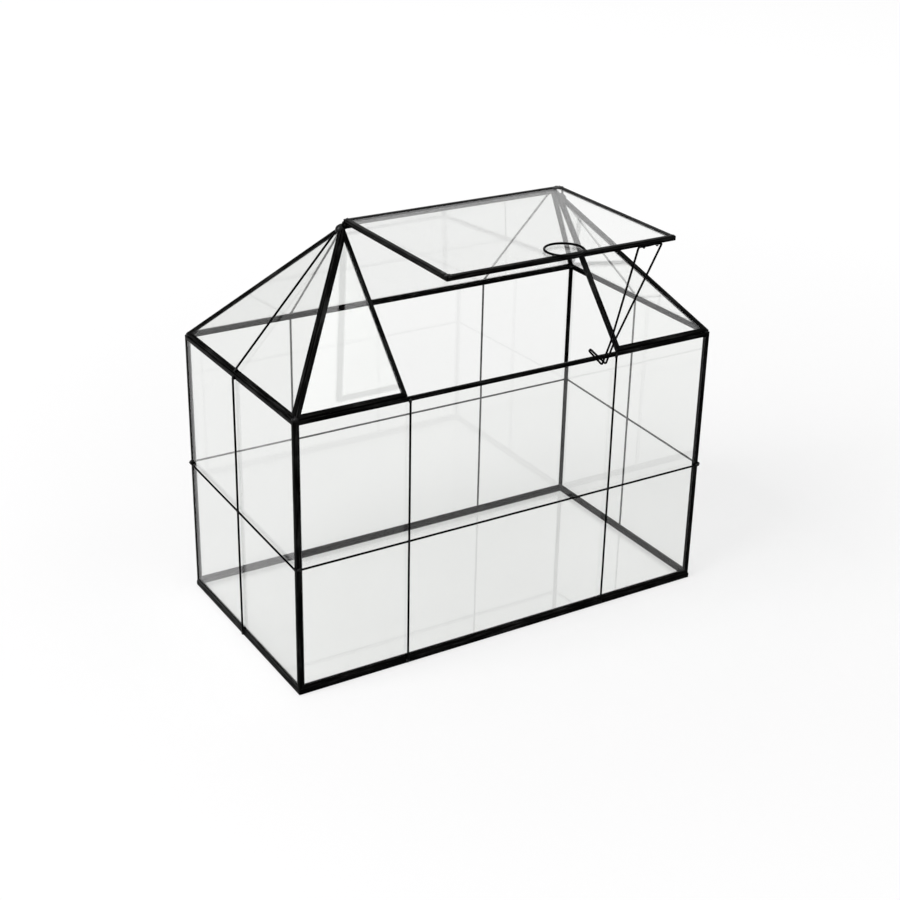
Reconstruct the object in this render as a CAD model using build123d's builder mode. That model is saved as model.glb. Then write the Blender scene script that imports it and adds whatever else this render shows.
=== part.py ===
from build123d import *
import os
from math import hypot

os.makedirs("parts", exist_ok=True)

# The house: outer sizes over the metal edges, in millimetres. The ridge runs along X,
# the front faces -Y, and the origin is the middle of the base, on the table.
length = 250.0
depth = 130.0
wall_height = 152.0
roof_rise = 70.0
ridge_length = 127.0
jamb_inset = 1.0

# The folded metal channel around each sheet of glass. Two channels that meet are
# mitred on the inside and leave a groove between them on the outside.
channel_thickness = 2.4
channel_width = 2.8
channel_setback = 0.5
glass_thickness = 1.8
glass_lap = 0.4

# The base's channel lies flat and a little thicker, and the walls stand on it.
base_channel_thickness = 2.9

# The lid, shown propped open and level. It hinges on a rod in its own rear channel.
lid_overlap = 2.75
lid_shift = 1.5
lid_overhang = 4.2
lid_lift = 0.8
hinge_setback = 1.5
hinge_edge = 1.2
hinge_rod_radius = 0.55
hinge_bore_clearance = 0.1
hinge_leg_clearance = 0.5

# The solder caps over the two ends of the ridge.
cap_radius = 2.4
cap_outset = 1.0
cap_lift = 0.4
cap_lid_clearance = 0.35

# Decorative wires over the outside of the glass, soldered to the channels.
wire_radius = 0.5
wire_lift = 0.05
wire_end_inset = 1.2
bead_radius = 0.85
bead_turn = 40.0
upright_inset = 1.5
upright_top_gap = 2.4
front_wire_height = 72.5
back_wire_height = 77.0
end_wire_shift = 2.0
hip_wire_cap_gap = 0.6
hip_wire_low_gap = 2.3

# The pull ring, soldered flat on the lid's front channel and standing out past it.
ring_radius = 9.7
ring_wire_radius = 0.5
ring_shift = 3.5
ring_overhang = 3.8

# The prop: one loop of wire that swings in two eyes under the lid's front channel.
# Its two strands run side by side and end in a hook in front of the eave.
prop_wire_radius = 0.5
prop_inset = 14.25
prop_bar_length = 14.2
prop_bar_inset = 1.4
prop_bar_clearance = 0.1
strand_spacing = 2.4
strand_meeting_height = 14.5
hook_clearance = 0.7
hook_bow = 1.3
hook_drop = 4.5
hook_rise = 4.6
hook_reach = 8.6
hook_tip_spacing = 1.2
eye_spacing = 8.0
eye_length = 1.6
eye_bore_clearance = 0.15
eye_wall = 0.4

half_length = length / 2
half_depth = depth / 2
half_ridge = ridge_length / 2
half_opening = half_ridge - jamb_inset
ridge_height = wall_height + roof_rise
wall_foot = base_channel_thickness - channel_setback

# Corners of the house, named front or back and left or right: those of the base on
# the table, and the low and high ones of the walls.
front_left_base = Vector(-half_length, -half_depth, 0)
front_right_base = Vector(half_length, -half_depth, 0)
back_left_base = Vector(-half_length, half_depth, 0)
back_right_base = Vector(half_length, half_depth, 0)
front_left_low = Vector(-half_length, -half_depth, wall_foot)
front_right_low = Vector(half_length, -half_depth, wall_foot)
back_left_low = Vector(-half_length, half_depth, wall_foot)
back_right_low = Vector(half_length, half_depth, wall_foot)
front_left_high = Vector(-half_length, -half_depth, wall_height)
front_right_high = Vector(half_length, -half_depth, wall_height)
back_left_high = Vector(-half_length, half_depth, wall_height)
back_right_high = Vector(half_length, half_depth, wall_height)
opening_left = Vector(-half_opening, -half_depth, wall_height)
opening_right = Vector(half_opening, -half_depth, wall_height)
ridge_left = Vector(-half_ridge, 0, ridge_height)
ridge_right = Vector(half_ridge, 0, ridge_height)

# Each pane's corners run counter-clockwise as seen from outside. Beside them stands
# the pane that its channel is mitred to on each edge, or None where there is none.
panes = {
    "base": (
        [front_left_base, back_left_base, back_right_base, front_right_base],
        [None, None, None, None],
    ),
    "front": (
        [front_left_low, front_right_low, front_right_high, front_left_high],
        [None, "right_end", "front_left_roof", "left_end"],
    ),
    "back": (
        [back_right_low, back_left_low, back_left_high, back_right_high],
        [None, "left_end", "back_roof", "right_end"],
    ),
    "left_end": (
        [back_left_low, front_left_low, front_left_high, back_left_high],
        [None, "front", "left_hip", "back"],
    ),
    "right_end": (
        [front_right_low, back_right_low, back_right_high, front_right_high],
        [None, "back", "right_hip", "front"],
    ),
    "back_roof": (
        [back_right_high, back_left_high, ridge_left, ridge_right],
        ["back", "left_hip", "front_left_roof", "right_hip"],
    ),
    "left_hip": (
        [back_left_high, front_left_high, ridge_left],
        ["left_end", "front_left_roof", "back_roof"],
    ),
    "right_hip": (
        [front_right_high, back_right_high, ridge_right],
        ["right_end", "back_roof", "front_right_roof"],
    ),
    "front_left_roof": (
        [front_left_high, opening_left, ridge_left],
        ["front", None, "left_hip"],
    ),
    "front_right_roof": (
        [opening_right, front_right_high, ridge_right],
        ["front", "right_hip", None],
    ),
}


def outward(corners):
    """The direction that a pane's outer face looks in."""
    return (corners[1] - corners[0]).cross(corners[2] - corners[0]).normalized()


def face_plane(corners):
    """The plane of a pane's outer face, with its first edge as the X direction."""
    return Plane(origin=corners[0], x_dir=corners[1] - corners[0], z_dir=outward(corners))


def outline(corners, plane, inset):
    """A pane's outline, drawn inset from its corners, on a plane parallel to its face."""
    flat = [face_plane(corners).to_local_coords(corner) for corner in corners]
    with BuildSketch(plane) as shape:
        with BuildLine():
            Polyline(*[(point.X, point.Y) for point in flat], close=True)
        make_face()
        if inset > 0:
            offset(amount=-inset, kind=Kind.INTERSECTION)
    return shape.sketch


def mitre_plane(start, end, facing, neighbour):
    """The plane through one edge of a pane that halves the angle to its neighbour."""
    between = facing + outward(panes[neighbour][0])
    return Plane(origin=start, z_dir=between.cross(end - start))


def glass_sheet(corners, skin=(channel_thickness - glass_thickness) / 2):
    """The sheet of glass in a channel, under a skin of the channel's outer face."""
    plane = face_plane(corners).offset(-skin)
    return extrude(
        outline(corners, plane, channel_width - glass_lap),
        amount=-glass_thickness,
        mode=Mode.PRIVATE,
    )


def window(corners, thickness=channel_thickness):
    """The clear opening inside a channel, through its whole thickness."""
    return extrude(
        outline(corners, face_plane(corners), channel_width),
        amount=-thickness,
        mode=Mode.PRIVATE,
    )


def run(start, end, radius):
    """One straight run of round wire, added to the piece in hand."""
    way = end - start
    with BuildSketch(Plane(origin=start, z_dir=way)) as section:
        Circle(radius)
    extrude(section.sketch, amount=way.length)


def bead(point, radius, facing=Vector(0, 0, 1)):
    """A drop of solder, added to the piece in hand, with its pole facing one way."""
    with Locations(Plane(origin=point, z_dir=facing).rotated((0, 0, bead_turn))):
        Sphere(radius)


# The fixed panes: a channel and a sheet of glass for each. The base's sheet lies flush
# with its channel's underside, so that the whole base rests on the table.
for name, (corners, neighbours) in panes.items():
    if name == "base":
        thickness, setback, sheet = base_channel_thickness, 0, glass_sheet(corners, 0)
    else:
        thickness, setback, sheet = channel_thickness, channel_setback, glass_sheet(corners)
    with BuildPart() as channel:
        extrude(outline(corners, face_plane(corners), setback), amount=-thickness)
        for start, end, neighbour in zip(corners, corners[1:] + corners[:1], neighbours):
            if neighbour:
                mitre = mitre_plane(start, end, outward(corners), neighbour)
                split(bisect_by=mitre, keep=Keep.TOP)
        add(window(corners, thickness), mode=Mode.SUBTRACT)
        add(sheet, mode=Mode.SUBTRACT)
    channel.part.label = f"{name}_channel"
    export_step(channel.part, f"parts/{name}_channel.step")
    with BuildPart() as glass:
        add(sheet)
    glass.part.label = f"{name}_glass"
    export_step(glass.part, f"parts/{name}_glass.step")

# The lid's place: level at rest, a little to the right over the opening, with the
# hinge axis in its rear channel.
half_lid = half_opening + lid_overlap
lid_left = lid_shift - half_lid
lid_right = lid_shift + half_lid
lid_length = hypot(half_depth, roof_rise) + lid_overhang
hinge_axis_y = -hinge_setback
hinge_axis_z = ridge_height + lid_lift
lid_back = hinge_axis_y + hinge_edge
lid_front = lid_back - lid_length
lid_top = hinge_axis_z + channel_thickness / 2
lid_under = hinge_axis_z - channel_thickness / 2
lid_corners = [
    Vector(lid_left, lid_front, lid_top),
    Vector(lid_right, lid_front, lid_top),
    Vector(lid_right, lid_back, lid_top),
    Vector(lid_left, lid_back, lid_top),
]

with BuildPart() as lid_channel:
    extrude(
        outline(lid_corners, face_plane(lid_corners), 0),
        amount=-channel_thickness,
    )
    add(window(lid_corners), mode=Mode.SUBTRACT)
    add(glass_sheet(lid_corners), mode=Mode.SUBTRACT)
    with BuildSketch(Plane.YZ.offset(lid_left)):
        with Locations((hinge_axis_y, hinge_axis_z)):
            Circle(hinge_rod_radius + hinge_bore_clearance)
    extrude(amount=2 * half_lid, mode=Mode.SUBTRACT)
lid_channel.part.label = "lid_channel"
export_step(lid_channel.part, "parts/lid_channel.step")

with BuildPart() as lid_glass:
    add(glass_sheet(lid_corners))
lid_glass.part.label = "lid_glass"
export_step(lid_glass.part, "parts/lid_glass.step")

# The hinge rod: it runs through the lid's rear channel and bends down at both ends
# to the hip slopes, just past the ends of the ridge.
leg_reach = hinge_leg_clearance + hinge_rod_radius
rod_left = Vector(lid_left - leg_reach, hinge_axis_y, hinge_axis_z)
rod_right = Vector(lid_right + leg_reach, hinge_axis_y, hinge_axis_z)


def hip_height(x):
    """The height of the hip slopes at a distance from the middle."""
    hip_fall = roof_rise / (half_length - half_ridge)
    return ridge_height - (abs(x) - half_ridge) * hip_fall


with BuildPart() as hinge_rod:
    run(rod_left, rod_right, hinge_rod_radius)
    for end in (rod_left, rod_right):
        leg_foot = hip_height(abs(end.X) - hinge_rod_radius)
        bead(end, hinge_rod_radius)
        run(end, Vector(end.X, end.Y, leg_foot), hinge_rod_radius)
hinge_rod.part.label = "hinge_rod"
export_step(hinge_rod.part, "parts/hinge_rod.step")

# The outer form of the roof, which the solder caps sit on.
with BuildPart() as roof_form:
    with BuildSketch(Plane.YZ.offset(-half_length)):
        with BuildLine():
            Polyline(
                (-half_depth, wall_height),
                (half_depth, wall_height),
                (0, ridge_height),
                close=True,
            )
        make_face()
    extrude(amount=length)
    for name in ("left_hip", "right_hip"):
        split(bisect_by=face_plane(panes[name][0]), keep=Keep.BOTTOM)



def cap_foot(side):
    """The middle of a solder cap on its hip slope, outside the leg of the hinge rod."""
    x = lid_shift + side * (half_lid + leg_reach + cap_outset)
    return Vector(x, 0, hip_height(x))


# A solder cap closes each end of the ridge, where three channels and the hinge rod meet.
for name, hip, side in (("left_cap", "left_hip", -1), ("right_cap", "right_hip", 1)):
    lid_gap_x = lid_shift + side * (half_lid + cap_lid_clearance)
    lid_gap = Plane(origin=(lid_gap_x, 0, 0), z_dir=(side, 0, 0))
    with BuildPart() as cap:
        bead(cap_foot(side) + outward(panes[hip][0]) * cap_lift, cap_radius)
        add(roof_form.part, mode=Mode.SUBTRACT)
        add(hinge_rod.part, mode=Mode.SUBTRACT)
        split(bisect_by=lid_gap, keep=Keep.TOP)
    cap.part.label = name
    export_step(cap.part, f"parts/{name}.step")

# Wires: each pane's wires lie on its channel, with a drop of solder at each end and
# each crossing. A run is given by two points on the pane's outer plane.
half_uprights = half_ridge - upright_inset
upright_low = wall_foot + wire_end_inset
upright_high = wall_height - upright_top_gap
end_inset_x = half_length - wire_end_inset
end_inset_y = half_depth - wire_end_inset


def along(start, end, distance):
    """The point that lies a distance from one point on the way to another."""
    return start + (end - start).normalized() * distance


def slope_wire(top, foot, top_gap, low_gap):
    """A wire down a slope of the roof, with its distances from the ridge and the eave."""
    return along(top, foot, top_gap), along(foot, top, low_gap)


def hip_wires(side):
    """The wire down the middle of a hip slope, from the solder cap to the eave."""
    top = Vector(side * half_ridge, 0, ridge_height)
    foot = Vector(side * half_length, end_wire_shift, wall_height)
    cap_end = (cap_foot(side) - top).length + cap_radius
    return [slope_wire(top, foot, cap_end + bead_radius + hip_wire_cap_gap, hip_wire_low_gap)]


def uprights(y):
    """The two upright wires of the front or the back wall."""
    return [
        (Vector(x, y, upright_low), Vector(x, y, upright_high))
        for x in (-half_uprights, half_uprights)
    ]


def end_wires(side):
    """The upright and the crossing wire of an end wall."""
    x = side * half_length
    return [
        (Vector(x, end_wire_shift, upright_low), Vector(x, end_wire_shift, upright_high)),
        (Vector(x, -end_inset_y, front_wire_height), Vector(x, end_inset_y, back_wire_height)),
    ]


end_share = (half_depth + end_wire_shift) / depth
end_wire_height = front_wire_height + end_share * (back_wire_height - front_wire_height)
wires = {
    "front": (
        uprights(-half_depth)
        + [
            (
                Vector(-end_inset_x, -half_depth, front_wire_height),
                Vector(end_inset_x, -half_depth, front_wire_height),
            )
        ],
        [Vector(x, -half_depth, front_wire_height) for x in (-half_uprights, half_uprights)],
    ),
    "back": (
        uprights(half_depth)
        + [
            (
                Vector(-end_inset_x, half_depth, back_wire_height),
                Vector(end_inset_x, half_depth, back_wire_height),
            )
        ],
        [Vector(x, half_depth, back_wire_height) for x in (-half_uprights, half_uprights)],
    ),
    "left_end": (
        end_wires(-1),
        [Vector(-half_length, end_wire_shift, end_wire_height)],
    ),
    "right_end": (
        end_wires(1),
        [Vector(half_length, end_wire_shift, end_wire_height)],
    ),
    "left_hip": (hip_wires(-1), []),
    "right_hip": (hip_wires(1), []),
    "back_roof": (
        [
            slope_wire(
                Vector(x, 0, ridge_height),
                Vector(x, half_depth, wall_height),
                wire_end_inset,
                wire_end_inset,
            )
            for x in (-half_uprights, half_uprights)
        ],
        [],
    ),
}

for name, (runs, crossings) in wires.items():
    corners = panes[name][0]
    lift = outward(corners) * (wire_radius + wire_lift)
    with BuildPart() as pane_wires:
        for start, end in runs:
            run(start + lift, end + lift, wire_radius)
            bead(start + lift, bead_radius, lift)
            bead(end + lift, bead_radius, lift)
        for crossing in crossings:
            bead(crossing + lift, bead_radius, lift)
        split(bisect_by=face_plane(corners), keep=Keep.TOP)
    pane_wires.part.label = f"{name}_wires"
    export_step(pane_wires.part, f"parts/{name}_wires.step")

# The pull ring lies on the lid's front channel.
with BuildPart() as lid_ring:
    ring_centre_y = lid_front - ring_overhang + ring_radius + ring_wire_radius
    with Locations((lid_shift + ring_shift, ring_centre_y, lid_top + ring_wire_radius)):
        Torus(ring_radius, ring_wire_radius)
lid_ring.part.label = "lid_ring"
export_step(lid_ring.part, "parts/lid_ring.step")

# The prop's pivot bar runs under the lid's front channel.
pivot_y = lid_front + prop_bar_inset
pivot_z = lid_under - prop_bar_clearance - prop_wire_radius
prop_centre = lid_right - prop_inset

# Two eyes hold the bar, each a short staple soldered under the channel by its feet.
with BuildPart() as prop_eyes:
    for side in (-1, 1):
        eye_start = prop_centre + side * eye_spacing / 2 - eye_length / 2
        with BuildSketch(Plane.YZ.offset(eye_start)):
            with Locations((pivot_y, pivot_z)):
                Circle(prop_wire_radius + eye_bore_clearance + eye_wall)
                Circle(prop_wire_radius + eye_bore_clearance, mode=Mode.SUBTRACT)
        extrude(amount=eye_length)
    split(bisect_by=Plane.XY.offset(lid_under), keep=Keep.BOTTOM)
prop_eyes.part.label = "prop_eyes"
export_step(prop_eyes.part, "parts/prop_eyes.step")

# The prop's line, from one end of the bar down one strand, round the hook and back.
hook_y = -half_depth - hook_clearance - prop_wire_radius
bottom_y = hook_y - hook_bow
bottom_z = wall_height - hook_drop
tip_z = wall_height + hook_rise
fall = (pivot_z - bottom_z - strand_meeting_height) / (pivot_z - bottom_z)
meeting_y = pivot_y + fall * (bottom_y - pivot_y)
meeting_z = bottom_z + strand_meeting_height
half_bar = prop_bar_length / 2
half_strand = strand_spacing / 2
half_tip = hook_tip_spacing / 2
tip_x = prop_centre - hook_reach
left_strand = [
    Vector(prop_centre - half_bar, pivot_y, pivot_z),
    Vector(prop_centre - half_strand, meeting_y, meeting_z),
    Vector(prop_centre - half_strand, bottom_y, bottom_z),
    Vector(tip_x - half_tip, hook_y, tip_z - half_tip),
]
right_strand = [
    Vector(prop_centre + half_bar, pivot_y, pivot_z),
    Vector(prop_centre + half_strand, meeting_y, meeting_z),
    Vector(prop_centre + half_strand, bottom_y, bottom_z),
    Vector(tip_x + half_tip, hook_y, tip_z + half_tip),
]

with BuildPart() as lid_prop:
    for strand in (left_strand, right_strand):
        for start, end in zip(strand, strand[1:]):
            run(start, end, prop_wire_radius)
            bead(start, prop_wire_radius)
        bead(strand[-1], prop_wire_radius)
    run(left_strand[0], right_strand[0], prop_wire_radius)
    run(left_strand[-1], right_strand[-1], prop_wire_radius)
lid_prop.part.label = "lid_prop"
export_step(lid_prop.part, "parts/lid_prop.step")
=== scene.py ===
import math

import bmesh
import bpy
from mathutils import Matrix, Vector, noise


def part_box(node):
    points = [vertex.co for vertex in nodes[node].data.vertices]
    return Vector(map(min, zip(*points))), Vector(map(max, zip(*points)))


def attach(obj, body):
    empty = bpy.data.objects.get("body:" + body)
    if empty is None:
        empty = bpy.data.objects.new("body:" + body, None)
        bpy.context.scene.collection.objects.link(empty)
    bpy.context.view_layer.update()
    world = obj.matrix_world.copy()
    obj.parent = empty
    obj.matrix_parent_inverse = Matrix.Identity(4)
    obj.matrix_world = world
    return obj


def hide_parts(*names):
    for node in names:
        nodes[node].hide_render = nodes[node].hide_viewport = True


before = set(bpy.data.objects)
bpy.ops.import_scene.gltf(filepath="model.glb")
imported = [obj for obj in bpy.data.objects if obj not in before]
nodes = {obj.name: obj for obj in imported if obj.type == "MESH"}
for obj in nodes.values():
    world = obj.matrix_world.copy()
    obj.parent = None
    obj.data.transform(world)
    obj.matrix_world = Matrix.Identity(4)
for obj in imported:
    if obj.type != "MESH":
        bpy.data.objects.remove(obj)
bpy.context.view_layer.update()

# The viewpoint: the terrarium stands a little below eye level, its front left corner
# nearest, and is seen through a long lens, as in a catalogue picture.
VIEW_AZIMUTH = math.radians(-31.583)
VIEW_ELEVATION = math.radians(24.953)
VIEW_ROLL = math.radians(1.185)
VIEW_TARGET = Vector((0, 0, 0.083417))
VIEW_DISTANCE = 0.912708
LENS_MM = 66.203
FILM_MM = 36.0
FILM_SHIFT = (0.00263, -0.00141)

back = Vector((
    math.sin(VIEW_AZIMUTH) * math.cos(VIEW_ELEVATION),
    -math.cos(VIEW_AZIMUTH) * math.cos(VIEW_ELEVATION),
    math.sin(VIEW_ELEVATION),
))
level_right = Vector((0, 0, 1)).cross(back).normalized()
level_up = back.cross(level_right)
right = level_right * math.cos(VIEW_ROLL) + level_up * math.sin(VIEW_ROLL)
up = level_up * math.cos(VIEW_ROLL) - level_right * math.sin(VIEW_ROLL)
eye = VIEW_TARGET + back * VIEW_DISTANCE

camera_data = bpy.data.cameras.new("photo_camera")
camera_data.lens = LENS_MM
camera_data.sensor_width = FILM_MM
camera_data.sensor_fit = "HORIZONTAL"
camera_data.shift_x, camera_data.shift_y = FILM_SHIFT
camera_data.clip_start = 0.01
camera = bpy.data.objects.new("photo_camera", camera_data)
camera.matrix_world = Matrix((
    (right.x, up.x, back.x, eye.x),
    (right.y, up.y, back.y, eye.y),
    (right.z, up.z, back.z, eye.z),
    (0, 0, 0, 1),
))
bpy.context.scene.collection.objects.link(camera)
bpy.context.scene.camera = camera

# The channels: a strip of thin metal folded to a U round the edge of each pane, mitred
# at its corners and stained black. Two panes meet with their folds side by side, so a
# dark groove shows between two rounded bands. The walls stand on the base's flat channel.
HALF_LENGTH = 0.125
HALF_DEPTH = 0.065
WALL_HEIGHT = 0.152
RIDGE_HEIGHT = 0.222
HALF_RIDGE = 0.0635
HALF_OPENING = 0.0625
CHANNEL_SETBACK = 0.0005
CHANNEL_WIDTH = 0.0028
CHANNEL_DEPTH = 0.0024
GLASS_TOP = 0.00028
GLASS_BOTTOM = 0.00212
GLASS_SEAT = 0.00242
BASE_CHANNEL_DEPTH = 0.0029
WALL_FOOT = 0.0024
WALL_LIP = 0.0009

# The rounding of a fold, mostly as (distance in from its edge, depth), and the slight
# unevenness of its crown, which runs over these points of the section.
INNER_SHOULDER = ((0.00003, 0.00015), (0.00022, 0.00006))
OUTER_SHOULDER = ((0.00028, 0.00006), (0.00008, 0.00015))
CROWN_REACH = 0.0004
CROWN_DEPTH = 0.00001
CROWN_POINTS = range(2, 8)
WEB_SHARES = (0.13, 0.23, 0.38, 0.63, 0.93)
FOLD_BEND = 0.00012
LIP_BEND = 0.00014
BASE_EDGE_BEND = 0.0001
NARROWEST_FLAT = 0.00002
CHANNEL_STEP = 0.006
CHANNEL_WAVE = 0.00005
WAVES_PER_METRE = 60
SHARP_FOLD = math.radians(50)

# The `run` UVs of the channels: a shift from one edge of a pane to the next, and a step
# for each point across the strip.
EDGE_SHIFT = 0.37
CHANNEL_UV_STEP = 0.0004

# Channels and wires are uneven in the same way each time that the scene is made.
HANDWORK_SEED = 3
noise.seed_set(HANDWORK_SEED)

front_left_base = Vector((-HALF_LENGTH, -HALF_DEPTH, 0))
front_right_base = Vector((HALF_LENGTH, -HALF_DEPTH, 0))
back_left_base = Vector((-HALF_LENGTH, HALF_DEPTH, 0))
back_right_base = Vector((HALF_LENGTH, HALF_DEPTH, 0))
front_left_low = Vector((-HALF_LENGTH, -HALF_DEPTH, WALL_FOOT))
front_right_low = Vector((HALF_LENGTH, -HALF_DEPTH, WALL_FOOT))
back_left_low = Vector((-HALF_LENGTH, HALF_DEPTH, WALL_FOOT))
back_right_low = Vector((HALF_LENGTH, HALF_DEPTH, WALL_FOOT))
front_left_high = Vector((-HALF_LENGTH, -HALF_DEPTH, WALL_HEIGHT))
front_right_high = Vector((HALF_LENGTH, -HALF_DEPTH, WALL_HEIGHT))
back_left_high = Vector((-HALF_LENGTH, HALF_DEPTH, WALL_HEIGHT))
back_right_high = Vector((HALF_LENGTH, HALF_DEPTH, WALL_HEIGHT))
opening_left = Vector((-HALF_OPENING, -HALF_DEPTH, WALL_HEIGHT))
opening_right = Vector((HALF_OPENING, -HALF_DEPTH, WALL_HEIGHT))
ridge_left = Vector((-HALF_RIDGE, 0, RIDGE_HEIGHT))
ridge_right = Vector((HALF_RIDGE, 0, RIDGE_HEIGHT))

# Corners run counter-clockwise as seen from outside; beside them stands the pane met
# on each edge, or None where the edge is free.
panes = {
    "base": (
        [front_left_base, back_left_base, back_right_base, front_right_base],
        [None, None, None, None],
    ),
    "front": (
        [front_left_low, front_right_low, front_right_high, front_left_high],
        [None, "right_end", "front_left_roof", "left_end"],
    ),
    "back": (
        [back_right_low, back_left_low, back_left_high, back_right_high],
        [None, "left_end", "back_roof", "right_end"],
    ),
    "left_end": (
        [back_left_low, front_left_low, front_left_high, back_left_high],
        [None, "front", "left_hip", "back"],
    ),
    "right_end": (
        [front_right_low, back_right_low, back_right_high, front_right_high],
        [None, "back", "right_hip", "front"],
    ),
    "back_roof": (
        [back_right_high, back_left_high, ridge_left, ridge_right],
        ["back", "left_hip", None, "right_hip"],
    ),
    "left_hip": (
        [back_left_high, front_left_high, ridge_left],
        ["left_end", "front_left_roof", "back_roof"],
    ),
    "right_hip": (
        [front_right_high, back_right_high, ridge_right],
        ["right_end", "back_roof", "front_right_roof"],
    ),
    "front_left_roof": (
        [front_left_high, opening_left, ridge_left],
        ["front", None, "left_hip"],
    ),
    "front_right_roof": (
        [opening_right, front_right_high, ridge_right],
        ["front", "right_hip", None],
    ),
}


def outward(corners):
    """The direction that a pane's outer face looks in."""
    return (corners[1] - corners[0]).cross(corners[2] - corners[0]).normalized()


def groove_slant(corners, neighbour):
    """How far the mitre between two panes leans in for each unit of depth."""
    if neighbour is None:
        return 0.0
    turn = outward(corners).angle(outward(panes[neighbour][0]))
    return math.tan(turn / 2)


def fold_profile(setback, slant, lip, flat):
    """The section of one folded strip, as (distance in from the edge, depth) points."""
    depth = BASE_CHANNEL_DEPTH if flat else CHANNEL_DEPTH
    glass_back = GLASS_BOTTOM - GLASS_TOP if flat else GLASS_BOTTOM
    web = [(max(setback, share * depth * slant), share * depth) for share in WEB_SHARES]
    heel = max(setback, depth * slant) + FOLD_BEND
    toe = max(heel + NARROWEST_FLAT, CHANNEL_WIDTH + lip - LIP_BEND)
    inside = [(heel, depth), (toe, depth), (CHANNEL_WIDTH + lip, depth - FOLD_BEND)]
    inside += [(CHANNEL_WIDTH + lip, glass_back), (GLASS_SEAT, glass_back)]
    if flat:
        outside = [(GLASS_SEAT, 0), (CHANNEL_WIDTH - CROWN_REACH, 0), (setback + CROWN_REACH, 0)]
        outside += [(setback + BASE_EDGE_BEND, FOLD_BEND)]
    else:
        middle = (setback + CHANNEL_WIDTH) / 2
        outside = [(GLASS_SEAT, GLASS_TOP), (CHANNEL_WIDTH, GLASS_TOP)]
        outside += [(CHANNEL_WIDTH - inset, down) for inset, down in INNER_SHOULDER]
        outside += [(middle + CROWN_REACH, CROWN_DEPTH), (middle - CROWN_REACH, CROWN_DEPTH)]
        outside += [(setback + inset, down) for inset, down in OUTER_SHOULDER]
    return outside + web + inside


def folded_channel(name, corners, neighbours, setback=CHANNEL_SETBACK, wall=False, flat=False):
    """A pane's folded strip, with `run` UVs that go along the strip and across it."""
    normal = outward(corners)
    count = len(corners)
    ways = [(corners[(i + 1) % count] - corners[i]).normalized() for i in range(count)]
    inward = [normal.cross(way) for way in ways]
    profiles = [
        fold_profile(
            setback,
            groove_slant(corners, neighbour),
            WALL_LIP if wall and way.z else 0.0,
            flat,
        )
        for neighbour, way in zip(neighbours, ways)
    ]
    around = len(profiles[0])
    mesh = bmesh.new()
    run = mesh.loops.layers.uv.new("run")
    rings = []
    for i, corner in enumerate(corners):
        before = (i - 1) % count
        lean = inward[before].dot(inward[i])
        ring = []
        for (d0, depth), (d1, _) in zip(profiles[before], profiles[i]):
            toward = inward[before] * (d0 - d1 * lean) + inward[i] * (d1 - d0 * lean)
            ring.append(corner + toward / (1 - lean * lean) - normal * depth)
        rings.append(ring)
    corner_verts = [[mesh.verts.new(point) for point in ring] for ring in rings]
    crown = range(0) if flat else CROWN_POINTS
    mitre_verts = {vert for ring in corner_verts for vert in ring}
    for i in range(count):
        start, end = rings[i], rings[(i + 1) % count]
        length = (end[0] - start[0]).length
        steps = max(2, round(length / CHANNEL_STEP))
        strips = [corner_verts[i]]
        for k in range(1, steps):
            ring = []
            for j in range(around):
                point = start[j].lerp(end[j], k / steps)
                if j in crown:
                    wave = noise.noise_vector(point * WAVES_PER_METRE) * CHANNEL_WAVE
                    point = point + inward[i] * wave.x - normal * abs(wave.z)
                ring.append(mesh.verts.new(point))
            strips.append(ring)
        strips.append(corner_verts[(i + 1) % count])
        for k in range(steps):
            for j in range(around):
                after = (j + 1) % around
                quad = (strips[k][j], strips[k + 1][j], strips[k + 1][after], strips[k][after])
                face = mesh.faces.new(quad)
                face.smooth = True
                places = ((k, j), (k + 1, j), (k + 1, j + 1), (k, j + 1))
                for loop, (along, across) in zip(face.loops, places):
                    way_along = along * length / steps + i * EDGE_SHIFT
                    loop[run].uv = (way_along, across * CHANNEL_UV_STEP)
    for edge in mesh.edges:
        mitred = all(vert in mitre_verts for vert in edge.verts)
        edge.smooth = not mitred and edge.calc_face_angle(0) <= SHARP_FOLD
    mesh.normal_update()
    return finished_mesh(name, mesh)


def finished_mesh(name, mesh):
    """Turns a bmesh into a scene object with outward normals."""
    bmesh.ops.recalc_face_normals(mesh, faces=mesh.faces)
    data = bpy.data.meshes.new(name)
    mesh.to_mesh(data)
    mesh.free()
    piece = bpy.data.objects.new(name, data)
    bpy.context.scene.collection.objects.link(piece)
    return piece


def new_group(name, inputs, outputs):
    """An empty shader node group with named sockets."""
    group = bpy.data.node_groups.new(name, "ShaderNodeTree")
    for socket, kind, default in inputs:
        made = group.interface.new_socket(socket, in_out="INPUT", socket_type=kind)
        if default is not None:
            made.default_value = default
    for socket, kind in outputs:
        group.interface.new_socket(socket, in_out="OUTPUT", socket_type=kind)
    return group


def node(tree, kind, inputs=None, **settings):
    """Adds a node, with its plain values and its links given by socket."""
    made = tree.nodes.new(kind)
    for key, value in settings.items():
        setattr(made, key, value)
    for key, value in (inputs or {}).items():
        if isinstance(value, bpy.types.NodeSocket):
            tree.links.new(value, made.inputs[key])
        else:
            made.inputs[key].default_value = value
    return made


def maths(tree, operation, first, second):
    """The output of one Math node."""
    return node(tree, "ShaderNodeMath", {0: first, 1: second}, operation=operation).outputs[0]


def ranged(tree, value, start, end, low=0.0, high=1.0, **settings):
    """A value's range from start to end, spread over low to high."""
    given = {"Value": value, "From Min": start, "From Max": end, "To Min": low, "To Max": high}
    return node(tree, "ShaderNodeMapRange", given, **settings).outputs[0]


def clouds(tree, place, scale, detail, roughness=0.5):
    """The value of a noise texture."""
    given = {"Vector": place, "Scale": scale, "Detail": detail, "Roughness": roughness}
    return node(tree, "ShaderNodeTexNoise", given).outputs[0]


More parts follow.
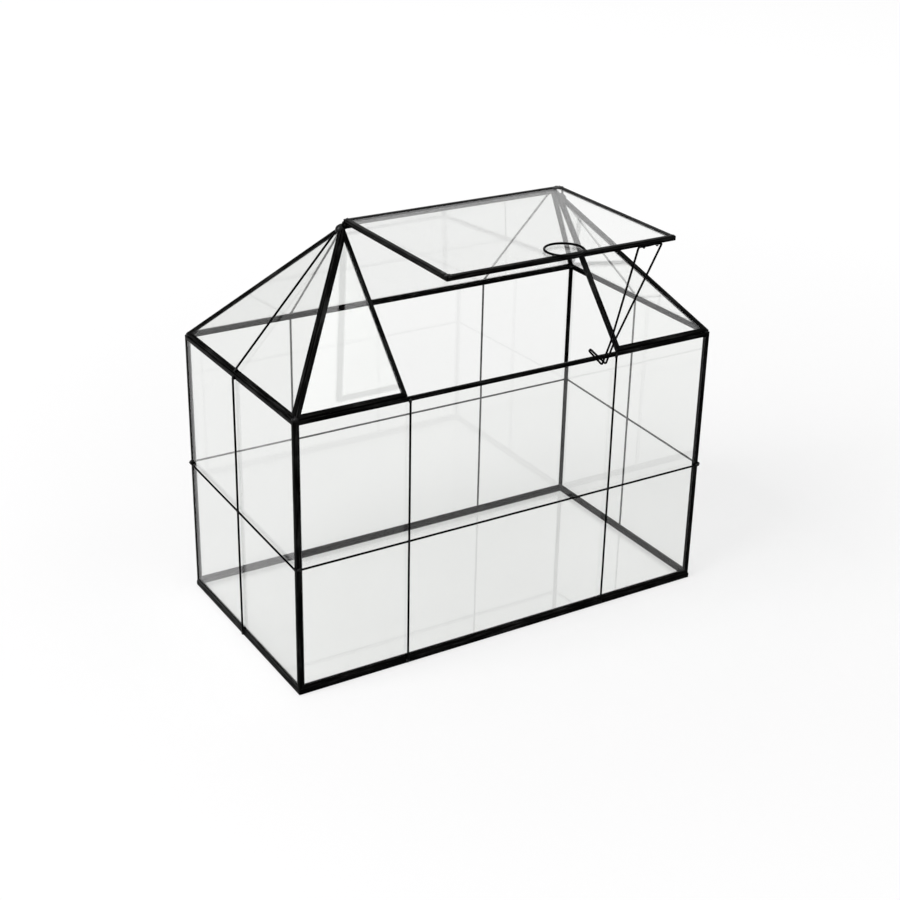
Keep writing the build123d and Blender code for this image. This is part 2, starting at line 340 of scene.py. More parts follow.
def streaks_and_sheen_group():
    """Fine lines that run along a drawn or rolled strip, from its `run` UVs, whose mask also
    paints highlight lines into the colour.
    """
    group = new_group(
        "streaks_and_sheen",
        [("Along", "NodeSocketFloat", 40.0), ("Across", "NodeSocketFloat", 9000.0)],
        [("Mask", "NodeSocketFloat"), ("Height", "NodeSocketFloat")],
    )
    given = group.nodes.new("NodeGroupInput")
    uv = node(group, "ShaderNodeUVMap", uv_map="run")
    parts = node(group, "ShaderNodeSeparateXYZ", {0: uv.outputs[0]})
    along = maths(group, "MULTIPLY", parts.outputs[0], given.outputs["Along"])
    across = maths(group, "MULTIPLY", parts.outputs[1], given.outputs["Across"])
    place = node(group, "ShaderNodeCombineXYZ", {0: along, 1: across})
    lines = clouds(group, place.outputs[0], scale=1.0, detail=3.0, roughness=0.6)
    made = group.nodes.new("NodeGroupOutput")
    group.links.new(ranged(group, lines, 0.47, 0.70), made.inputs["Mask"])
    group.links.new(lines, made.inputs["Height"])
    return group


def stain_group():
    """Cloudy black stain: patches where the patina lies thick or thin on the metal."""
    group = new_group(
        "black_stain",
        [("Scale", "NodeSocketFloat", 160.0)],
        [("Mask", "NodeSocketFloat"), ("Grain", "NodeSocketFloat")],
    )
    given = group.nodes.new("NodeGroupInput")
    place = node(group, "ShaderNodeTexCoord").outputs["Object"]
    patches = clouds(group, place, given.outputs["Scale"], detail=4.0, roughness=0.55)
    grain = clouds(group, place, scale=2600.0, detail=2.0)
    made = group.nodes.new("NodeGroupOutput")
    group.links.new(ranged(group, patches, 0.38, 0.66), made.inputs["Mask"])
    group.links.new(grain, made.inputs["Grain"])
    return group


streaks_and_sheen = streaks_and_sheen_group()
black_stain = stain_group()


def new_material(name):
    """A material with an empty tree but for its output."""
    material = bpy.data.materials.new(name)
    material.use_nodes = True
    material.node_tree.nodes.clear()
    return material, material.node_tree, material.node_tree.nodes.new("ShaderNodeOutputMaterial")


def mixed(tree, share, low, high):
    """A value between two numbers or colours, by a mask."""
    if isinstance(low, tuple):
        blend = tree.nodes.new("ShaderNodeMix")
        blend.data_type = "RGBA"
        tree.links.new(share, blend.inputs["Factor"])
        blend.inputs[6].default_value = (*low, 1)
        blend.inputs[7].default_value = (*high, 1)
        return blend.outputs[2]
    return ranged(tree, share, 0.0, 1.0, low, high)


LEAST_WEAR = 0.3
METAL_RELIEF = 0.0001


def blackened_metal(name, dark, light, rough, shine, bump, streaks=None):
    """Thin metal stained black, with streaks along and across it, whose lighter colour is partly
    painted highlight, or only cloudy patches.
    """
    material, tree, made = new_material(name)
    stain = node(tree, "ShaderNodeGroup", node_tree=black_stain)
    if streaks:
        drawn = node(
            tree, "ShaderNodeGroup",
            {"Along": streaks[0], "Across": streaks[1]}, node_tree=streaks_and_sheen,
        )
        share, height = drawn.outputs["Mask"], drawn.outputs["Height"]
    else:
        share, height = stain.outputs["Mask"], stain.outputs["Grain"]
    worn = mixed(tree, stain.outputs["Mask"], LEAST_WEAR, 1.0)
    both = maths(tree, "MULTIPLY", share, worn)
    relief = node(
        tree, "ShaderNodeBump", {"Height": height, "Strength": bump, "Distance": METAL_RELIEF}
    )
    metal = node(
        tree, "ShaderNodeBsdfPrincipled",
        {
            "Base Color": mixed(tree, both, dark, light),
            "Roughness": mixed(tree, share, *rough),
            "Specular IOR Level": shine,
            "Normal": relief.outputs[0],
        },
    )
    tree.links.new(metal.outputs[0], made.inputs[0])
    return material


# The light colour along the channels' streaks is partly painted highlight: besides the drawn
# streaks of the metal, it stands in for the thin lines of reflected light along the bands.
channel_metal = blackened_metal(
    "blackened_channel",
    dark=(0.0009, 0.0009, 0.0008),
    light=(0.036, 0.036, 0.035),
    rough=(0.26, 0.42),
    shine=0.018,
    bump=0.4,
    streaks=(45.0, 1400.0),
)

for name, (corners, neighbours) in panes.items():
    if name == "base":
        strip = folded_channel("base_folded_channel", corners, neighbours, setback=0.0, flat=True)
    else:
        wall = name in ("front", "back", "left_end", "right_end")
        strip = folded_channel(f"{name}_folded_channel", corners, neighbours, wall=wall)
    strip.data.materials.append(channel_metal)
    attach(strip, "house")
    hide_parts(f"{name}_channel")

# The glass: a thin clear sheet in each channel, very slightly wavy, with the faint grey
# green of plain window glass. Its tint is deepened or lightened pane by pane as painted
# shade and light: deepest on the back slope and the front triangles of the roof, then the
# back and end walls, lightest on the base, front, hips and lid. Lamps shine through it as
# through any window.
ROOF_GLASS_TINT_AND_SHADE = ((0.885, 0.891, 0.883), (0.915, 0.921, 0.913))
WALL_GLASS_TINT_AND_SHADE = ((0.92, 0.926, 0.918), (0.94, 0.946, 0.938))
CLEAREST_GLASS_TINT_AND_LIGHT = ((0.97, 0.975, 0.967), (0.99, 0.993, 0.987))
GLASS_SHADOW = (0.66, 0.665, 0.66, 1)
GLASS_IOR = 1.5
GLASS_WAVE_STRENGTH = 0.03
GLASS_WAVE_HEIGHT = 0.001


def clear_glass(name, tint_and_shade):
    """Clear sheet glass, whose colour drifts a little and whose faces are a little wavy; how deep
    that colour is, pane by pane, is painted shade.
    """
    material, tree, made = new_material(name)
    place = node(tree, "ShaderNodeTexCoord").outputs["Object"]
    drift = clouds(tree, place, scale=14.0, detail=2.0)
    wave = clouds(tree, place, scale=22.0, detail=1.0)
    relief = node(
        tree, "ShaderNodeBump",
        {"Height": wave, "Strength": GLASS_WAVE_STRENGTH, "Distance": GLASS_WAVE_HEIGHT},
    )
    pane = node(
        tree, "ShaderNodeBsdfPrincipled",
        {
            "Base Color": mixed(tree, drift, *tint_and_shade),
            "Roughness": 0.0,
            "IOR": GLASS_IOR,
            "Transmission Weight": 1.0,
            "Normal": relief.outputs[0],
        },
    )
    passing = node(tree, "ShaderNodeBsdfTransparent", {"Color": GLASS_SHADOW})
    path = node(tree, "ShaderNodeLightPath")
    both = node(
        tree, "ShaderNodeMixShader",
        {0: path.outputs["Is Shadow Ray"], 1: pane.outputs[0], 2: passing.outputs[0]},
    )
    tree.links.new(both.outputs[0], made.inputs[0])
    return material


roof_glass = clear_glass("clear_roof_glass", ROOF_GLASS_TINT_AND_SHADE)
wall_glass = clear_glass("clear_wall_glass", WALL_GLASS_TINT_AND_SHADE)
clearest_glass = clear_glass("clearest_glass", CLEAREST_GLASS_TINT_AND_LIGHT)
# Which tint each pane takes, the roof's where none is listed: painted shade and light, not a
# different glass.
glass_shade_by_pane = {
    "base": clearest_glass,
    "front": clearest_glass,
    "left_hip": clearest_glass,
    "right_hip": clearest_glass,
    "lid": clearest_glass,
    "back": wall_glass,
    "left_end": wall_glass,
    "right_end": wall_glass,
}
for name in [*panes, "lid"]:
    sheet = nodes[f"{name}_glass"]
    sheet.data.materials.clear()
    sheet.data.materials.append(glass_shade_by_pane.get(name, roof_glass))

# The wires: straight round wire laid over the outside of each wall and slope, held by
# a drop of solder at each end and crossing, and stained black like the channels.
WIRE_RADIUS = 0.00056
WIRE_STAND_OFF = 0.0006
WIRE_INSET = 0.0012
UPRIGHT_FOOT = 0.0019
UPRIGHT_X = 0.062
UPRIGHT_TOP_GAP = 0.0024
FRONT_WIRE_HEIGHT = 0.0725
BACK_WIRE_HEIGHT = 0.077
END_WIRE_SHIFT = 0.002
HIP_WIRE_TOP_GAP = {-1: 0.0073, 1: 0.0119}
HIP_WIRE_LOW_GAP = 0.0023
END_DROP = (0.0014, 0.00085, 0.00075)
CROSSING_DROP = (0.00095, 0.0009, 0.0007)
END_DROP_LIFT = 0.7
DROP_ROUGHNESS = 0.3

# How a wire's cut end is rounded, as shares of its radius: how far out, and how wide.
END_ROUNDING = ((0.45, 0.85), (0.8, 0.45))
WIRE_UV_STEP = 0.0003


def add_tube(mesh, path, radius, sides=10, closed=False):
    """Adds a round wire along a path of points, with rounded ends unless it's closed."""
    count = len(path)
    ways = []
    for i in range(count):
        if closed:
            way = path[(i + 1) % count] - path[i - 1]
        else:
            way = path[min(i + 1, count - 1)] - path[max(i - 1, 0)]
        ways.append(way.normalized())
    side = ways[0].orthogonal().normalized()
    rings = []
    for i, (point, way) in enumerate(zip(path, ways)):
        if i:
            side = ways[i - 1].rotation_difference(way) @ side
        other = way.cross(side)
        if not closed and i == 0:
            for out, width in reversed(END_ROUNDING):
                rings.append((point - way * radius * out, side, other, radius * width))
        rings.append((point, side, other, radius))
        if not closed and i == count - 1:
            for out, width in END_ROUNDING:
                rings.append((point + way * radius * out, side, other, radius * width))
    run = mesh.loops.layers.uv.verify()
    verts = [
        [
            mesh.verts.new(centre + (a * math.cos(t) + b * math.sin(t)) * size)
            for t in (2 * math.pi * k / sides for k in range(sides))
        ]
        for centre, a, b, size in rings
    ]
    gone = 0.0
    pairs = list(zip(range(len(rings)), range(1, len(rings))))
    if closed:
        pairs.append((len(rings) - 1, 0))
    for i, j in pairs:
        span = (rings[j][0] - rings[i][0]).length
        for k in range(sides):
            after = (k + 1) % sides
            face = mesh.faces.new((verts[i][k], verts[i][after], verts[j][after], verts[j][k]))
            face.smooth = True
            places = ((gone, k), (gone, k + 1), (gone + span, k + 1), (gone + span, k))
            for loop, (along, across) in zip(face.loops, places):
                loop[run].uv = (along, across * WIRE_UV_STEP)
        gone += span
    if not closed:
        mesh.faces.new(list(reversed(verts[0])))
        mesh.faces.new(verts[-1])


def new_wire_mesh():
    """An empty mesh for wire, with its UV layer named as the streaks expect."""
    mesh = bmesh.new()
    mesh.loops.layers.uv.new("run")
    return mesh


WIRE_STEP = 0.012
WIRE_BOW = 0.00012
BENDS_PER_METRE = 25


def straight_wire(start, end):
    """Points along a hand-straightened wire, which still bows very slightly."""
    count = max(4, round((end - start).length / WIRE_STEP))
    points = []
    for i in range(count + 1):
        share = i / count
        point = start.lerp(end, share)
        wander = noise.noise_vector(point * BENDS_PER_METRE) * WIRE_BOW * math.sin(math.pi * share)
        points.append(point + wander)
    return points


UPWARD = Vector((0, 0, 1))
RIGHTWARD = Vector((1, 0, 0))
BROAD_LUMPS = 1.7
FINE_LUMPS = 4.1


def add_lump(mesh, centre, size, facing=UPWARD, along=RIGHTWARD, rough=0.1, seed=0.0):
    """Adds a drop of solder: a lumpy ball with its sizes along, across and out."""
    out = facing.normalized()
    first = (along - out * along.dot(out)).normalized()
    second = out.cross(first)
    made = bmesh.ops.create_icosphere(mesh, subdivisions=3, radius=1.0)
    for vert in made["verts"]:
        ball = vert.co.copy()
        swell = 1 + rough * noise.noise(ball * BROAD_LUMPS + Vector((seed, seed * 0.7, 0)))
        swell += rough * 0.5 * noise.noise(ball * FINE_LUMPS + Vector((0, seed, seed)))
        spot = first * ball.x * size[0] + second * ball.y * size[1] + out * ball.z * size[2]
        vert.co = centre + spot * swell
    for vert in made["verts"]:
        for face in vert.link_faces:
            face.smooth = True


def along_from(start, end, distance):
    """The point that lies a distance from one point on the way to another."""
    return start + (end - start).normalized() * distance


def uprights(y):
    """The two upright wires of the front or the back wall."""
    return [
        (Vector((x, y, UPRIGHT_FOOT)), Vector((x, y, WALL_HEIGHT - UPRIGHT_TOP_GAP)))
        for x in (-UPRIGHT_X, UPRIGHT_X)
    ]


def level_wire(y, height):
    """The level wire of the front or the back wall."""
    reach = HALF_LENGTH - WIRE_INSET
    return (Vector((-reach, y, height)), Vector((reach, y, height)))


def end_wires(side):
    """The upright and the crossing wire of an end wall."""
    x = side * HALF_LENGTH
    reach = HALF_DEPTH - WIRE_INSET
    return [
        (
            Vector((x, END_WIRE_SHIFT, UPRIGHT_FOOT)),
            Vector((x, END_WIRE_SHIFT, WALL_HEIGHT - UPRIGHT_TOP_GAP)),
        ),
        (Vector((x, -reach, FRONT_WIRE_HEIGHT)), Vector((x, reach, BACK_WIRE_HEIGHT))),
    ]


def slope_wire(top, foot, top_gap, low_gap):
    """A wire down a slope of the roof."""
    return along_from(top, foot, top_gap), along_from(foot, top, low_gap)


def hip_wire(side):
    """The wire down the middle of a hip slope."""
    top = Vector((side * HALF_RIDGE, 0, RIDGE_HEIGHT))
    foot = Vector((side * HALF_LENGTH, END_WIRE_SHIFT, WALL_HEIGHT))
    return slope_wire(top, foot, HIP_WIRE_TOP_GAP[side], HIP_WIRE_LOW_GAP)


crossing_share = (HALF_DEPTH + END_WIRE_SHIFT) / (2 * HALF_DEPTH)
crossing_height = FRONT_WIRE_HEIGHT + crossing_share * (BACK_WIRE_HEIGHT - FRONT_WIRE_HEIGHT)
wire_runs = {
    "front": (
        uprights(-HALF_DEPTH) + [level_wire(-HALF_DEPTH, FRONT_WIRE_HEIGHT)],
        [Vector((x, -HALF_DEPTH, FRONT_WIRE_HEIGHT)) for x in (-UPRIGHT_X, UPRIGHT_X)],
    ),
    "back": (
        uprights(HALF_DEPTH) + [level_wire(HALF_DEPTH, BACK_WIRE_HEIGHT)],
        [Vector((x, HALF_DEPTH, BACK_WIRE_HEIGHT)) for x in (-UPRIGHT_X, UPRIGHT_X)],
    ),
    "left_end": (end_wires(-1), [Vector((-HALF_LENGTH, END_WIRE_SHIFT, crossing_height))]),
    "right_end": (end_wires(1), [Vector((HALF_LENGTH, END_WIRE_SHIFT, crossing_height))]),
    "left_hip": ([hip_wire(-1)], []),
    "right_hip": ([hip_wire(1)], []),
    "back_roof": (
        [
            slope_wire(
                Vector((x, 0, RIDGE_HEIGHT)),
                Vector((x, HALF_DEPTH, WALL_HEIGHT)),
                WIRE_INSET,
                WIRE_INSET,
            )
            for x in (-UPRIGHT_X, UPRIGHT_X)
        ],
        [],
    ),
}

wire_metal = blackened_metal(
    "blackened_wire",
    dark=(0.0009, 0.0009, 0.0009),
    light=(0.009, 0.009, 0.0088),
    rough=(0.32, 0.48),
    shine=0.018,
    bump=0.15,
    streaks=(60.0, 4000.0),
)
solder_metal = blackened_metal(
    "blackened_solder",
    dark=(0.0015, 0.0015, 0.0015),
    light=(0.02, 0.02, 0.0195),
    rough=(0.14, 0.40),
    shine=0.15,
    bump=0.5,
)

for name, (runs, crossings) in wire_runs.items():
    facing = outward(panes[name][0])
    lift = facing * WIRE_STAND_OFF
    wires = new_wire_mesh()
    drops = bmesh.new()
    for start, end in runs:
        add_tube(wires, straight_wire(start + lift, end + lift), WIRE_RADIUS)
        soldered = (end,) if name.endswith("hip") else (start, end)
        for spot in soldered:
            add_lump(
                drops, spot + lift * END_DROP_LIFT, END_DROP,
                facing, end - start, DROP_ROUGHNESS, seed=spot.x * 90,
            )
    for spot in crossings:
        add_lump(
            drops, spot + lift, CROSSING_DROP,
            facing, UPWARD, DROP_ROUGHNESS, seed=spot.x * 70,
        )
    wire_piece = finished_mesh(f"{name}_wire_run", wires)
    wire_piece.data.materials.append(wire_metal)
    drop_piece = finished_mesh(f"{name}_wire_solder", drops)
    drop_piece.data.materials.append(solder_metal)
    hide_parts(f"{name}_wires")
    for piece, finish in ((wire_piece, "wire"), (drop_piece, "solder")):
        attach(piece, "house")

# The corner joints: where three channels meet, solder is run into the grooves and rounded
# over, most of it at the ridge's ends. A corner's drop is given by its size, how far in it
# lies along X and Y, and how far up.
FOOT_DROP = ((0.00175, 0.00175, 0.0019), 0.0019, 0.0022)
EAVE_DROP = ((0.00195, 0.00195, 0.0020), 0.0021, -0.0006)
corner_drops = {
    "front_left_foot": (front_left_low, FOOT_DROP),
    "front_right_foot": (front_right_low, FOOT_DROP),
    "back_left_foot": (back_left_low, FOOT_DROP),
    "back_right_foot": (back_right_low, FOOT_DROP),
    "front_left_eave": (front_left_high, EAVE_DROP),
    "front_right_eave": (front_right_high, EAVE_DROP),
    "back_left_eave": (back_left_high, EAVE_DROP),
    "back_right_eave": (back_right_high, EAVE_DROP),
}
for number, (name, (corner, (size, inset, rise))) in enumerate(corner_drops.items()):
    drop = bmesh.new()
    shift = Vector((-math.copysign(inset, corner.x), -math.copysign(inset, corner.y), rise))
    add_lump(drop, corner + shift, size, rough=0.1, seed=number * 3.1)
    piece = finished_mesh(f"{name}_solder", drop)
    piece.data.materials.append(solder_metal)
    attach(piece, "house")


def hip_height(x):
    """The height of the hip slopes at a distance from the middle."""
    hip_fall = (RIDGE_HEIGHT - WALL_HEIGHT) / (HALF_LENGTH - HALF_RIDGE)
    return RIDGE_HEIGHT - (abs(x) - HALF_RIDGE) * hip_fall


RIDGE_DROP = (0.0027, 0.0023, 0.0019)
RIDGE_DROP_INSET = 0.0005
RIDGE_DROP_RISE = 0.0003
RIDGE_DROP_OUT = 0.75
RIDGE_DROP_UP = 0.66
for name, side in (("left", -1), ("right", 1)):
    drop = bmesh.new()
    cap_low, cap_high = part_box(f"{name}_cap")
    cap_x = (cap_low.x + cap_high.x) / 2
    middle = Vector((cap_x - side * RIDGE_DROP_INSET, 0, hip_height(cap_x) + RIDGE_DROP_RISE))
    hip_facing = Vector((side * RIDGE_DROP_OUT, 0, RIDGE_DROP_UP))
    add_lump(drop, middle, RIDGE_DROP, hip_facing, UPWARD, rough=0.12, seed=side * 5)
    piece = finished_mesh(f"{name}_ridge_end_solder", drop)
    piece.data.materials.append(solder_metal)
    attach(piece, "house")
    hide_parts(f"{name}_cap")

# The lid: one pane in its own channel, a little larger than the opening in the roof. It
# stands propped level, hinged along its rear edge.
lid_low, lid_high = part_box("lid_channel")
lid_corners = [
    Vector((lid_low.x, lid_low.y, lid_high.z)),
    Vector((lid_high.x, lid_low.y, lid_high.z)),
    Vector((lid_high.x, lid_high.y, lid_high.z)),
    Vector((lid_low.x, lid_high.y, lid_high.z)),
]
lid_frame = folded_channel("lid_folded_channel", lid_corners, [None] * 4, setback=0.0)
lid_frame.data.materials.append(channel_metal)
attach(lid_frame, "lid")
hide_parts("lid_channel")

# The solder on the lid's corners: which corner, how far from it, and how large.
lid_solder = [
    (0, (0.0017, 0.0015, -0.0004), (0.0019, 0.0017, 0.0009)),
    (0, (0.0014, 0.0052, -0.0001), (0.0011, 0.0021, 0.0005)),
    (0, (0.0058, 0.0013, -0.0001), (0.0020, 0.0009, 0.0004)),
    (1, (-0.0015, 0.0015, -0.0004), (0.0016, 0.0015, 0.0008)),
    (2, (-0.0031, -0.0024, -0.0004), (0.0034, 0.0024, 0.0008)),
    (3, (0.0015, -0.0013, -0.0004), (0.0014, 0.0013, 0.0008)),
]
lid_drops = bmesh.new()
for number, (corner, shift, size) in enumerate(lid_solder):
    spot = lid_corners[corner] + Vector(shift)
    add_lump(lid_drops, spot, size, rough=0.4, seed=number * 2.3 + 1)
lid_corner_solder = finished_mesh("lid_corner_solder", lid_drops)
lid_corner_solder.data.materials.append(solder_metal)
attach(lid_corner_solder, "lid")

# The hinge: one wire runs through the lid's rear channel and is bent down at both ends
# on to the hips, where the ridge-end solder holds it.
ROD_RADIUS = 0.00055
ROD_BEND = 0.0008
ROD_BEND_CUT = 0.3 * ROD_BEND
rod_low, rod_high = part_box("hinge_rod")
rod_y = (rod_low.y + rod_high.y) / 2
rod_z = rod_high.z - ROD_RADIUS
left_leg_x = rod_low.x + ROD_RADIUS
right_leg_x = rod_high.x - ROD_RADIUS
rod_path = [
    Vector((left_leg_x, rod_y, hip_height(left_leg_x))),
    Vector((left_leg_x, rod_y, rod_z - ROD_BEND)),
    Vector((left_leg_x + ROD_BEND_CUT, rod_y, rod_z - ROD_BEND_CUT)),
    Vector((left_leg_x + ROD_BEND, rod_y, rod_z)),
    Vector((0, rod_y, rod_z)),
    Vector((right_leg_x - ROD_BEND, rod_y, rod_z)),
    Vector((right_leg_x - ROD_BEND_CUT, rod_y, rod_z - ROD_BEND_CUT)),
    Vector((right_leg_x, rod_y, rod_z - ROD_BEND)),
    Vector((right_leg_x, rod_y, hip_height(right_leg_x))),
]
rod_mesh = new_wire_mesh()
add_tube(rod_mesh, rod_path, ROD_RADIUS, sides=12)
rod = finished_mesh("hinge_wire", rod_mesh)
rod.data.materials.append(wire_metal)
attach(rod, "house")
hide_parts("hinge_rod")

# The pull ring: a ring of round wire that lies flat on the lid's front channel. It is
# soldered down where it crosses the channel, with more solder on its left.
RING_WIRE_RADIUS = 0.0006
RING_STEPS = 64
RING_DROP_LENGTHS = {-1: 0.0022, 1: 0.0013}
RING_DROP_WIDTH = 0.0008
RING_DROP_HEIGHT = 0.0005
RING_DROP_RISE = 0.0002
ring_low, ring_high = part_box("lid_ring")
ring_middle = (ring_low + ring_high) / 2
ring_radius = (ring_high.x - ring_low.x) / 2 - RING_WIRE_RADIUS
ring_path = [
    ring_middle + Vector((math.cos(t), math.sin(t), 0)) * ring_radius
    for t in (2 * math.pi * k / RING_STEPS for k in range(RING_STEPS))
]
ring_mesh = new_wire_mesh()
add_tube(ring_mesh, ring_path, RING_WIRE_RADIUS, sides=12, closed=True)
ring = finished_mesh("pull_ring", ring_mesh)
ring.data.materials.append(wire_metal)
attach(ring, "lid")
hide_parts("lid_ring")
ring_drops = bmesh.new()
solder_y = lid_low.y + CHANNEL_WIDTH / 2
solder_reach = math.sqrt(ring_radius**2 - (ring_middle.y - solder_y) ** 2)
for side, length in RING_DROP_LENGTHS.items():
    spot = Vector((ring_middle.x + side * solder_reach, solder_y, ring_low.z + RING_DROP_RISE))
    size = (length, RING_DROP_WIDTH, RING_DROP_HEIGHT)
    add_lump(ring_drops, spot, size, rough=0.35, seed=side * 4.7)
ring_solder = finished_mesh("pull_ring_solder", ring_drops)
ring_solder.data.materials.append(solder_metal)
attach(ring_solder, "lid")

# The prop: one loop of wire that hangs in two small staples under the lid's front
# channel. Its two strands come together, and end in a hook in front of the eave.
PROP_RADIUS = 0.00055
PROP_BEND = 0.0012
HALF_BAR = 0.0071
HALF_STRAND = 0.0012
MEETING_Y = -0.0736
MEETING_HEIGHT = 0.162
BOTTOM_Y = -0.0675
BOTTOM_HEIGHT = 0.1475
HOOK_REACH = 0.0086
HOOK_Y = -0.0662
TIP_HEIGHT = 0.1566
HALF_TIP = 0.0004
STAPLE_RADIUS = 0.0003
STAPLE_TURN = 0.0009
STAPLE_INSET = 0.0008
STAPLE_ROOT = 0.0004
STAPLE_STEPS = 8
prop_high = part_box("lid_prop")[1]
eye_low, eye_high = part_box("prop_eyes")
prop_middle = (eye_low.x + eye_high.x) / 2
bar_y = (eye_low.y + eye_high.y) / 2
bar_z = prop_high.z - PROP_RADIUS


def softened(points, radius, steps=5):
    """A path whose corners are rounded, as a bent wire's are."""
    path = [points[0]]
    for before, corner, after in zip(points, points[1:], points[2:]):
        reach = min(radius, (corner - before).length / 2, (after - corner).length / 2)
        start = along_from(corner, before, reach)
        end = along_from(corner, after, reach)
        for k in range(steps + 1):
            t = k / steps
            path.append(start.lerp(corner, t).lerp(corner.lerp(end, t), t))
    path.append(points[-1])
    return path


def prop_strand(side):
    """One strand of the prop, from its end of the bar to the hook's tip."""
    return [
        Vector((prop_middle + side * HALF_BAR, bar_y, bar_z)),
        Vector((prop_middle + side * HALF_STRAND, MEETING_Y, MEETING_HEIGHT)),
        Vector((prop_middle + side * HALF_STRAND, BOTTOM_Y, BOTTOM_HEIGHT)),
        Vector((
            prop_middle - HOOK_REACH + side * HALF_TIP,
            HOOK_Y,
            TIP_HEIGHT + side * HALF_TIP,
        )),
    ]


bar_middle = Vector((prop_middle, bar_y, bar_z))
prop_loop = [bar_middle, *prop_strand(-1), *reversed(prop_strand(1)), bar_middle]
prop_mesh = new_wire_mesh()
prop_path = softened(prop_loop, PROP_BEND)
add_tube(prop_mesh, prop_path[:-1], PROP_RADIUS, sides=12, closed=True)
prop = finished_mesh("prop_wire", prop_mesh)
prop.data.materials.append(wire_metal)
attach(prop, "prop")
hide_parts("lid_prop")

staples = new_wire_mesh()
for staple_x in (eye_low.x + STAPLE_INSET, eye_high.x - STAPLE_INSET):
    bend = [
        Vector((staple_x, bar_y - math.cos(t) * STAPLE_TURN, bar_z - math.sin(t) * STAPLE_TURN))
        for t in (math.pi * k / STAPLE_STEPS for k in range(STAPLE_STEPS + 1))
    ]
    rise = Vector((0, 0, lid_low.z + STAPLE_ROOT - bar_z))
    add_tube(staples, [bend[0] + rise, *bend, bend[-1] + rise], STAPLE_RADIUS)
eyes = finished_mesh("prop_staples", staples)
eyes.data.materials.append(wire_metal)
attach(eyes, "lid")
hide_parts("prop_eyes")

# The table: a plain white sheet that keeps the house's soft shadow and reads as white
# to the eye and through the glass.
FLOOR_SIZE = 12.0
FLOOR_DROP = 0.0003
floor_mesh = bmesh.new()
bmesh.ops.create_grid(floor_mesh, x_segments=1, y_segments=1, size=FLOOR_SIZE / 2)
bmesh.ops.translate(floor_mesh, verts=floor_mesh.verts, vec=Vector((0, 0, -FLOOR_DROP)))
floor = finished_mesh("table_top", floor_mesh)


def seen_and_mirrored(tree):
    """Masks for rays that look straight or through glass, and for mirrored rays."""
    path = tree.nodes.new("ShaderNodeLightPath")
    fresh = maths(tree, "LESS_THAN", path.outputs["Diffuse Depth"], 0.5)
    seen_kinds = (path.outputs["Is Camera Ray"], path.outputs["Is Transmission Ray"])
    straight = maths(tree, "MAXIMUM", *seen_kinds)
    seen = maths(tree, "MULTIPLY", straight, fresh)
    mirrored = maths(tree, "MULTIPLY", path.outputs["Is Glossy Ray"], fresh)
    return seen, maths(tree, "MULTIPLY", mirrored, maths(tree, "SUBTRACT", 1.0, straight))


FLOOR_COLOUR = (0.35, 0.348, 0.35, 1)
FLOOR_GLOW_NEAR = 0.648
FLOOR_GLOW_FAR = 0.775
NEAR_DISTANCE = 0.2
FAR_DISTANCE = 1.0
MIRRORED_FRONT = 0.2
MIRRORED_BACK = 0.85
MIRRORED_FRONT_Y = -0.1
MIRRORED_BACK_Y = 0.05
material, tree, made = new_material("white_table")
plain = node(tree, "ShaderNodeBsdfDiffuse", {"Color": FLOOR_COLOUR})
place = node(tree, "ShaderNodeTexCoord").outputs["Object"]
distance = node(tree, "ShaderNodeVectorMath", {0: place}, operation="LENGTH").outputs["Value"]
level = ranged(
    tree, distance, NEAR_DISTANCE, FAR_DISTANCE, FLOOR_GLOW_NEAR, FLOOR_GLOW_FAR
)
seen, mirrored = seen_and_mirrored(tree)
place_y = node(tree, "ShaderNodeSeparateXYZ", {0: place}).outputs["Y"]
behind = ranged(
    tree, place_y, MIRRORED_FRONT_Y, MIRRORED_BACK_Y, MIRRORED_FRONT, MIRRORED_BACK
)
share = maths(tree, "ADD", seen, maths(tree, "MULTIPLY", mirrored, behind))
glow = node(
    tree, "ShaderNodeEmission",
    {"Color": (1, 1, 1, 1), "Strength": maths(tree, "MULTIPLY", share, level)},
)
total = node(tree, "ShaderNodeAddShader", {0: plain.outputs[0], 1: glow.outputs[0]})
tree.links.new(total.outputs[0], made.inputs[0])
floor.data.materials.append(material)

# The light: a white room, brighter on the left, with a broad soft box high at the left
# and two white cards above the front, which show in the roof's two front triangles. Panes
# mirror the room, with a darker curtain at its back left and walls darker low down.
ROOM_LEVEL = 0.4
ROOM_LEAN = 0.34
WINDOW_TOWARD = (-0.75, -0.55, 0.37)
MIRRORED_LEVEL = 1.15
MIRRORED_CURTAIN = 0.42
CURTAIN_TOWARD = (-0.479, 0.772, 0.416)
CURTAIN_EDGE = 0.75
CURTAIN_HEART = 0.92
MIRRORED_LOW = 0.68
LOW_HEADING = 0.35
HIGH_HEADING = 0.42
world = bpy.data.worlds.new("white_room")
bpy.context.scene.world = world
world.use_nodes = True
world.node_tree.nodes.clear()
tree = world.node_tree
heading = node(tree, "ShaderNodeTexCoord").outputs["Generated"]


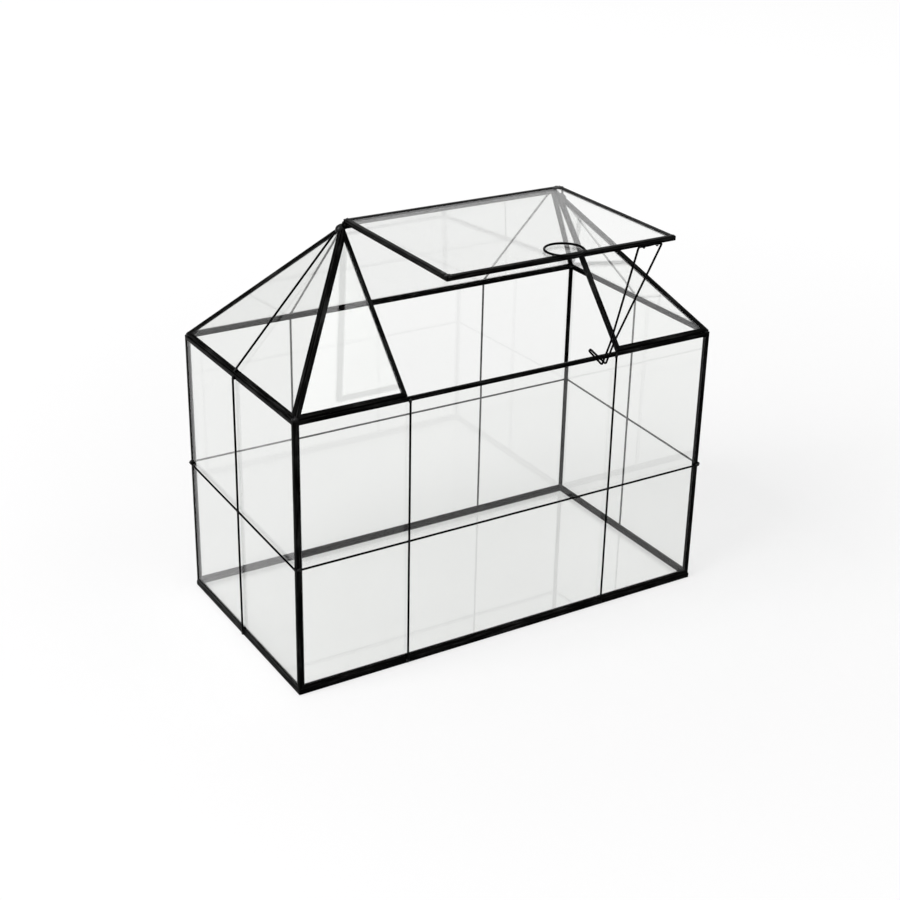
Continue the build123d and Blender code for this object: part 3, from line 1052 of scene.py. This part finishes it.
def room_facing(toward):
    """How nearly a ray into the room heads one way: 1 is straight that way."""
    given = {0: heading, 1: toward}
    return node(tree, "ShaderNodeVectorMath", given, operation="DOT_PRODUCT").outputs["Value"]


lean = maths(tree, "MULTIPLY", room_facing(WINDOW_TOWARD), ROOM_LEAN)
lighting = maths(tree, "ADD", ROOM_LEVEL, lean)
mirror_level = ranged(
    tree,
    room_facing(CURTAIN_TOWARD),
    CURTAIN_EDGE,
    CURTAIN_HEART,
    MIRRORED_LEVEL,
    MIRRORED_CURTAIN,
    interpolation_type="SMOOTHSTEP",
)
heading_z = node(tree, "ShaderNodeSeparateXYZ", {0: heading}).outputs["Z"]
low_down = ranged(tree, heading_z, LOW_HEADING, HIGH_HEADING, MIRRORED_LOW, 1.0)
room_mirrored = maths(tree, "MULTIPLY", mirror_level, low_down)
seen, mirrored = seen_and_mirrored(tree)
whitening = maths(tree, "MULTIPLY", seen, maths(tree, "SUBTRACT", 1.0, lighting))
mirroring = maths(tree, "MULTIPLY", mirrored, maths(tree, "SUBTRACT", room_mirrored, lighting))
shown = maths(tree, "ADD", lighting, maths(tree, "ADD", whitening, mirroring))
room = node(tree, "ShaderNodeBackground", {"Color": (1, 1, 1, 1), "Strength": shown})
made = tree.nodes.new("ShaderNodeOutputWorld")
tree.links.new(room.outputs[0], made.inputs[0])


def soft_box(name, place, aim, size, power):
    """A square lamp, aimed at a point."""
    data = bpy.data.lights.new(name, "AREA")
    data.shape = "SQUARE"
    data.size = size
    data.energy = power
    lamp = bpy.data.objects.new(name, data)
    lamp.location = place
    lamp.rotation_euler = (Vector(aim) - Vector(place)).to_track_quat("-Z", "Y").to_euler()
    bpy.context.scene.collection.objects.link(lamp)


soft_box("left_soft_box", place=(-2.2, -0.2, 2.0), aim=(0, 0, 0.1), size=1.65, power=60.0)
soft_box("left_card", place=(0.40, -0.53, 1.05), aim=(-0.085, -0.04, 0.17), size=0.3, power=0.42)
soft_box("right_card", place=(0.80, -0.50, 1.02), aim=(0.085, -0.04, 0.17), size=0.34, power=0.24)

bpy.context.scene.view_settings.view_transform = "Standard"
